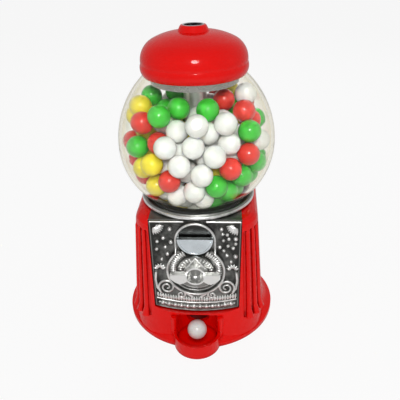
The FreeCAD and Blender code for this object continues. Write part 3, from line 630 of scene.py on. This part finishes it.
def shade_weights(x, y, z):
    """Greens lie low on the right of the front, whites in its middle; the others mix round the sides."""
    front = y < FRONT_Y
    if front and x > GREEN_X and z < GREEN_TOP:
        return {"white": 1, "red": 0, "green": 8, "yellow": 1}
    if front and abs(x - WHITE_MID_X) < WHITE_HALF and z < WHITE_TOP:
        return {"white": 14, "red": 2, "green": 0, "yellow": 1}
    if abs(x) > SIDE_X:
        return {"white": 1, "red": 5, "green": 4, "yellow": 4}
    return {"white": 3, "red": 4, "green": 4, "yellow": 4}


def gumballs():
    rng = random.Random(8)
    piles = {name: [] for name in CANDY}
    for ball in pour():
        weights = shade_weights(*ball)
        shade = rng.choices(list(weights), list(weights.values()))[0]
        piles[shade].append(ball)
    for name, balls in piles.items():
        pile = scattered("candy_balls_" + name, balls, [1.0] * len(balls), BALL_R, CANDY[name], 4)
        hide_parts("gumballs_" + name)
        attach(pile, "machine")
    low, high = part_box("dispensed_gumball")
    centre = [(a + b) / 2 / MM for a, b in zip(low, high)]
    single = scattered("candy_ball_in_cup", [centre], [1.0], BALL_R, CANDY["white"], 5)
    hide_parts("dispensed_gumball")
    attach(single, "machine")


# Relief on the front plate, the dial and the body's corners

def on_plate(x, z, out):
    """Point on the leaning face at width x and height z, standing out from it, in millimetres."""
    y = -PLATE_BACK + z * math.tan(PLATE_LEAN) - (PLATE_T + out) / math.cos(PLATE_LEAN)
    return (x, y, z)


def on_half(side):
    """Placing function for leaves on the left half of the plate, -1, or the right one, 1."""
    def place(x, z):
        return on_plate(side * x, z, LEAF_RISE)
    return place


def on_seat_floor(x, z):
    return (x, -SEAT_Y + SEAT_DEPTH, z)


def on_dial(x, z):
    return (x, -DIAL_Y, SHAFT_Z + z)


def half_width(z):
    """Half the plate's width at a height."""
    share = (z - PLATE_LOW) / (PLATE_TOP - PLATE_LOW)
    return PLATE_HALF_LOW + (PLATE_HALF_TOP - PLATE_HALF_LOW) * share


def bow_z(x):
    """Height of the plate's bowed lower edge."""
    return PLATE_LOW - PLATE_BOW * (1 - (x / PLATE_HALF_LOW) ** 2)


def along_bow(reach, count, rise, out):
    """Points that follow the bowed edge at a height above it, from side to side."""
    return [on_plate(x, bow_z(x) + rise, out) for x in np.linspace(-reach, reach, count)]


def arc(radius, low, high, count):
    """Points of an arc round the origin between two angles in degrees."""
    return [(radius * math.cos(a), radius * math.sin(a)) for a in np.radians(np.linspace(low, high, count))]


def keyhole(inset):
    """Outline of the arched coin lobe, run straight down into the round dial seat, as points x, y, z."""
    seat, lobe = SEAT_R - inset, LOBE_R - inset
    meet = math.acos(lobe / seat)
    shoulder_z = SHAFT_Z + seat * math.sin(meet) + SHOULDER_RISE
    meet_degrees = math.degrees(meet)
    points = [(x, -LOBE_Y, LOBE_Z + z) for x, z in arc(lobe, 0, 180, 49)]
    points.append((-lobe, -LOBE_Y, shoulder_z))
    points += [(x, -SEAT_Y, SHAFT_Z + z) for x, z in arc(seat, 180 - meet_degrees, 360 + meet_degrees, 73)]
    points.append((lobe, -LOBE_Y, shoulder_z))
    return points


def spiral(eye, size, turns, start, side, lead):
    """Scroll that winds in to its eye, after a lead-in of x, z points, on one half of the plate."""
    run = [on_plate(side * x, z, SCROLL_RISE) for x, z in lead]
    steps = int(turns * STEPS_PER_TURN)
    for i in range(steps + 1):
        t = i / steps
        a = start + 2 * math.pi * turns * t
        r = size * (1 - SCROLL_SHRINK * t)
        x, z = eye[0] + r * math.cos(a), eye[1] + r * math.sin(a)
        run.append(on_plate(side * x, z, SCROLL_RISE + EYE_RISE * t))
    return run


def thinning(t):
    return 1.2 - 0.6 * t


def leaf(t):
    """Thickness of a leaf stroke: slim at its foot, full in the middle, pointed at its tip."""
    return 0.25 + math.sin(math.pi * min(1.0, t * 0.9 + 0.08))


def stroke(start, end, place):
    """Leaf stroke from start to end in x, z; place gives the point on its surface."""
    return [place(start[0] + (end[0] - start[0]) * t, start[1] + (end[1] - start[1]) * t)
            for t in np.linspace(0, 1, 7)]


def fan(centre, angles, near, far, count, place):
    """Leaf strokes that spread from a centre between two angles in degrees."""
    feet, tips = arc(near, *angles, count), arc(far, *angles, count)
    return [stroke((centre[0] + a[0], centre[1] + a[1]), (centre[0] + b[0], centre[1] + b[1]), place)
            for a, b in zip(feet, tips)]


def plate_mouldings():
    """Lines round the keyhole, along the plate's edges and band, and round the seat of the globe."""
    wire("keyhole_moulding", [keyhole(KEYHOLE_INSET)], 0.9, PEWTER_BRIGHT, closed=True)
    low, high = PLATE_LOW + EDGE_INSET, PLATE_TOP - EDGE_INSET
    low_x, high_x = half_width(low) - SIDE_INSET, half_width(high) - SIDE_INSET
    left_low, right_low = (on_plate(side * low_x, low, LINE_RISE) for side in (-1, 1))
    left_high, right_high = (on_plate(side * high_x, high, LINE_RISE) for side in (-1, 1))
    left_end, right_end = (on_plate(side * TOP_LINE_END, high, LINE_RISE) for side in (-1, 1))
    bow = along_bow(PLATE_HALF_LOW - EDGE_INSET, 25, SIDE_INSET, LINE_RISE)
    edge = [left_high, left_low] + bow + [right_low, right_high]
    # Painted light: the side and lower edge lines are dark pewter as painted shade, the top lines bright
    # pewter as a painted highlight.
    wire("plate_edge_moulding", [edge], 0.6, PEWTER_DARK)
    wire("plate_top_moulding", [[left_high, left_end], [right_end, right_high]], 0.7, PEWTER_BRIGHT)
    ring_r, ring_z = RIM_R - 0.6, BODY_TOP + 2.4
    ring = [(ring_r * math.cos(a), ring_r * math.sin(a), ring_z)
            for a in np.linspace(0, 2 * math.pi, 120, endpoint=False)]
    wire("globe_seat_moulding", [ring], 1.5, PEWTER_BRIGHT, closed=True)
    wire("bow_band_moulding", [along_bow(BAND_HALF, 33, BAND_RISE, 0.2)], 0.6, PEWTER_BRIGHT)


def plate_leaves():
    """Volutes, shells in the top corners, tufts and a leaf row on the plate."""
    volutes, leaves = [], []
    for side in (-1, 1):
        volutes.append(spiral(VOLUTE_AT, size=7.0, turns=1.9, start=-0.9, side=side, lead=VOLUTE_STEM))
        volutes.append(spiral(CURL_AT, size=3.4, turns=1.4, start=2.2, side=side, lead=CURL_STEM))
        leaves += fan(SHELL_AT, (188, 268), near=2.5, far=8.2, count=7, place=on_half(side))
        leaves += fan(TUFT_AT, (20, 160), near=1.6, far=5.2, count=6, place=on_half(side))
    for x in np.linspace(-LEAF_ROW_HALF, LEAF_ROW_HALF, 31):
        foot = bow_z(x) + LEAF_ROW_RISE
        leaves.append(stroke((x, foot), (x * 1.02, foot + LEAF_ROW_TALL), on_half(1)))
    wire("plate_volutes", volutes, 0.85, PEWTER_BRIGHT, swell=thinning)
    wire("plate_leaves", leaves, 0.8, PEWTER_BRIGHT, swell=leaf)


def seat_leaves():
    """Leaf border and rings on the floor of the dial seat, and the rim line of the coin lip."""
    border = []
    for foot, tip in zip(arc(BORDER_NEAR, -12, 192, 35), arc(BORDER_FAR, -12, 192, 35)):
        ends = [(x, SHAFT_Z + z) for x, z in (foot, tip)]
        if all(math.hypot(x, z - LIP_Z) > LIP_R + LIP_CLEARANCE for x, z in ends):
            border.append(stroke(*ends, on_seat_floor))
    wire("seat_leaf_border", border, 0.8, PEWTER_BRIGHT, swell=leaf)
    rings = [[on_seat_floor(x, SHAFT_Z + z) for x, z in arc(r, 192, 348, 40)] for r in SEAT_RING_R]
    wire("seat_rings", rings, 0.4, PEWTER_BRIGHT)
    rim = [(x, -LIP_Y, LIP_Z - 0.5 + z) for x, z in arc(LIP_R - 1.5, 187, 353, 33)]
    wire("lip_rim_line", [rim], 0.4, POLISHED)


def dial_ornament():
    """Pointed hood over the hub and leaf sprays beside it, which turn with the dial."""
    peak, spread = DIAL_R - 1.2, HUB_R + 0.8
    right = [(spread * 0.62, 6.2), (spread, 1.8)]
    left = [(-x, z) for x, z in reversed(right)]
    hood = [on_dial(x, z) for x, z in left + [(0, peak)] + right]
    wire("dial_hood", [hood], 0.65, PEWTER_BRIGHT, body="handle")
    sprays = []
    for angles in ((12, 70), (110, 168)):
        sprays += fan((0, 0), angles, near=HUB_R + 2.4, far=DIAL_R - 0.7, count=6, place=on_dial)
    wire("dial_leaves", sprays, 0.7, PEWTER_BRIGHT, swell=leaf, body="handle")


def plate_shelf():
    """Dark pewter wedges of the plate's top shelf, from its upper edge back to the globe's rim; their
    darkness also paints the shade behind the plate's top.
    """
    front = PLATE_BACK - PLATE_TOP * math.tan(PLATE_LEAN) + PLATE_T - SHELF_INSET
    reach = RIM_R - 0.8
    edge = np.linspace(math.sqrt(reach ** 2 - front ** 2), PLATE_HALF_TOP - SHELF_INSET, 12)
    vertices, faces = [], []
    for side in (-1, 1):
        outline = [(side * x, -front) for x in edge]
        outline += [(side * x, -math.sqrt(reach ** 2 - x ** 2)) for x in edge[:0:-1]]
        outline = outline[::side]
        first, count = len(vertices), len(outline)
        for z in (BODY_TOP - 1.4, BODY_TOP + 0.15):
            vertices += [(x * MM, y * MM, z * MM) for x, y in outline]
        for i in range(count):
            j = (i + 1) % count
            faces.append((first + i, first + j, first + count + j, first + count + i))
        faces.append(tuple(first + count + i for i in range(count)))
        faces.append(tuple(first + i for i in reversed(range(count))))
    mesh = bpy.data.meshes.new("plate_shelf")
    mesh.from_pydata(vertices, [], faces)
    shelf = place_object("plate_shelf", mesh)
    # Painted shade: the shelf's dark pewter also stands for the shade behind the plate's top.
    dress(shelf, PEWTER_DARK)
    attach(shelf, "machine")


def corner_spot(angle, z):
    """Point x, y of a rib on the body's right front corner, a little sunk, but drawn out at the foot."""
    share = z / BODY_TOP
    half = BODY_HALF[0] + (BODY_HALF[1] - BODY_HALF[0]) * share
    corner = CORNER_R[0] + (CORNER_R[1] - CORNER_R[0]) * share
    sink = REED_SINK - REED_SPREAD * max(0.0, (REED_FLARE_Z - z) / (REED_FLARE_Z - REED_LOW))
    out, r = half - corner, corner - sink
    return out + r * math.cos(angle), -out - r * math.sin(angle)


def reed_swell(t):
    """Thickness of a rib: spread at the foot, slimmer upwards and pointed at the top."""
    foot = 1.0 + 0.5 * max(0.0, 1 - t / 0.1)
    tip = min(1.0, (1.02 - t) / 0.05)
    return (1.12 - 0.3 * t) * foot * tip


def pilaster_reeds():
    """Half-round ribs between the flutes of the front corners, spread at the foot."""
    runs = []
    for side in (-1, 1):
        for i in range(FLUTES - 1):
            angle = math.radians(FLUTE_START + FLUTE_STEP * (i + 0.5))
            run = []
            for z in np.linspace(REED_LOW, REED_TOP, 24):
                x, y = corner_spot(angle, z)
                run.append((side * x, y, z))
            runs.append(run)
    wire("pilaster_reeds", runs, 2.1, RED, swell=reed_swell)


def clear_of(x, z, centre, distance):
    """Whether a place on either half of the plate is at least that far from an ornament's centre."""
    return math.hypot(abs(x) - centre[0], z - centre[1]) >= distance


def free_for_bead(x, z):
    """Whether a bead's place is clear of the keyhole and of the leaves and volutes."""
    beside_seat = clear_of(x, z, (0, SHAFT_Z), SEAT_R + SEAT_ROOM)
    beside_lobe = clear_of(x, z, (0, LOBE_Z), LOBE_R + LOBE_ROOM)
    beside_neck = abs(x) >= LOBE_R + SEAT_ROOM or z <= SHAFT_Z
    beside_leaves = clear_of(x, z, SHELL_AT, SHELL_ROOM) and clear_of(x, z, TUFT_AT, TUFT_ROOM)
    beside_stem = z >= TUFT_AT[1] or abs(x) <= STEM_X
    beside_volute = clear_of(x, z, VOLUTE_AT, VOLUTE_ROOM) and beside_stem
    return beside_seat and beside_lobe and beside_neck and beside_leaves and beside_volute


def plate_beads():
    """Round grains on the field, sparser on the left, and the bead row of the bow band."""
    rng = random.Random(5)
    points, sizes = [], []
    tries = 0
    while len(points) < BEADS and tries < BEAD_TRIES:
        tries += 1
        z = rng.uniform(*FIELD_Z)
        x = rng.uniform(-1, 1) * (half_width(z) - FIELD_INSET)
        size = rng.uniform(*BEAD_SIZE)
        spacing = LEFT_SPACING if x < 0 else RIGHT_SPACING
        spot = on_plate(x, z, BEAD_RISE)
        alone = all(math.dist(spot, p) > (size + s) * spacing for p, s in zip(points, sizes))
        if alone and free_for_bead(x, z):
            points.append(spot)
            sizes.append(size)
    row = along_bow(BEAD_ROW_HALF, 25, BEAD_ROW_RISE, LINE_RISE)
    points += row
    sizes += [BEAD_ROW_SIZES[i % 2] for i in range(len(row))]
    beads = scattered("plate_beads", points, sizes, 1.0, PEWTER_BRIGHT, 3)
    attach(beads, "machine")


gumballs()
plate_mouldings()
plate_leaves()
seat_leaves()
dial_ornament()
plate_shelf()
pilaster_reeds()
plate_beads()


# Stage, light and camera

def sight_rays(tree):
    """Share of the white background that a ray shows: all of it straight or through glass, part of it in
    mirrors, none of it as light on matt faces."""
    path = add(tree, "ShaderNodeLightPath").outputs
    mirrored = reckon(tree, "MULTIPLY", path["Is Glossy Ray"], MIRRORED_SHARE)
    straight = reckon(tree, "MAXIMUM", path["Is Camera Ray"], mirrored)
    seen = reckon(tree, "MAXIMUM", straight, path["Is Transmission Ray"])
    unscattered = reckon(tree, "LESS_THAN", path["Diffuse Depth"], 0.5)
    return reckon(tree, "MULTIPLY", seen, unscattered)


def floor():
    """Pale floor that takes the object's shadow."""
    half = FLOOR_HALF
    corners = [(-half, -half, 0), (half, -half, 0), (half, half, 0), (-half, half, 0)]
    mesh = bpy.data.meshes.new("floor")
    mesh.from_pydata(corners, [], [(0, 1, 2, 3)])
    obj = place_object("floor", mesh)
    obj.location.z = -FLOOR_DROP
    mat, tree, bsdf = new_material("pale_floor")
    fix(bsdf, {"Base Color": (0.9, 0.9, 0.9, 1.0), "Roughness": 0.9, "Specular IOR Level": 0.0})
    glow = add(tree, "ShaderNodeEmission", Strength=1.0)
    blend_surfaces(tree, reckon(tree, "MULTIPLY", sight_rays(tree), FLOOR_WHITE), bsdf, glow)
    mesh.materials.append(mat)


def world():
    """White surroundings, dimmer as light on the object than as its background."""
    sky = bpy.data.worlds.new("studio")
    bpy.context.scene.world = sky
    sky.use_nodes = True
    tree = sky.node_tree
    back = tree.nodes["Background"]
    back.inputs["Color"].default_value = (1.0, 1.0, 1.0, 1.0)
    tree.links.new(span(tree, sight_rays(tree), *SKY_STRENGTH), back.inputs["Strength"])


def lamp(name, at, aim, size, power, mirrored=False):
    """Round studio lamp; only a mirrored one shows in polished faces."""
    data = bpy.data.lights.new(name, "AREA")
    data.shape = "DISK"
    data.size = size
    data.energy = power
    obj = place_object(name, data)
    obj.location = at
    obj.visible_glossy = mirrored
    obj.rotation_euler = (Vector(aim) - Vector(at)).to_track_quat("-Z", "Y").to_euler()


def camera():
    """Photograph's view: a little to the right, looking down, with a slight roll."""
    data = bpy.data.cameras.new("camera")
    data.sensor_width = SENSOR
    data.lens = LENS
    data.shift_x = SHIFT[0] / PHOTO_SIDE
    data.shift_y = SHIFT[1] / PHOTO_SIDE
    data.clip_start = 0.01
    obj = place_object("camera", data)
    turn, down, roll = (math.radians(a) for a in CAMERA_ANGLES)
    forward = Vector((-math.sin(turn) * math.cos(down), math.cos(turn) * math.cos(down), -math.sin(down)))
    right = Vector((math.cos(turn), math.sin(turn), 0))
    up = right.cross(forward)
    side = right * math.cos(roll) + up * math.sin(roll)
    top = up * math.cos(roll) - right * math.sin(roll)
    place = Vector(CAMERA_AIM) - forward * CAMERA_DISTANCE
    rows = list(zip(side, top, -forward, place))
    obj.matrix_world = Matrix(rows + [(0, 0, 0, 1)])
    bpy.context.scene.camera = obj


floor()
world()
lamp("key_light", (0.08, -0.85, 0.72), (0, 0, 0.12), size=0.24, power=4.5, mirrored=True)
lamp("left_fill", (-0.8, -0.35, 0.5), (0, 0, 0.12), size=0.6, power=0.5)
lamp("right_fill", (0.8, -0.1, 0.45), (0, 0, 0.12), size=0.6, power=0.5)
lamp("back_light", (0.1, 0.8, 0.8), (0, 0, 0.15), size=0.5, power=1.7)
camera()
bpy.context.scene.view_settings.view_transform = "Standard"
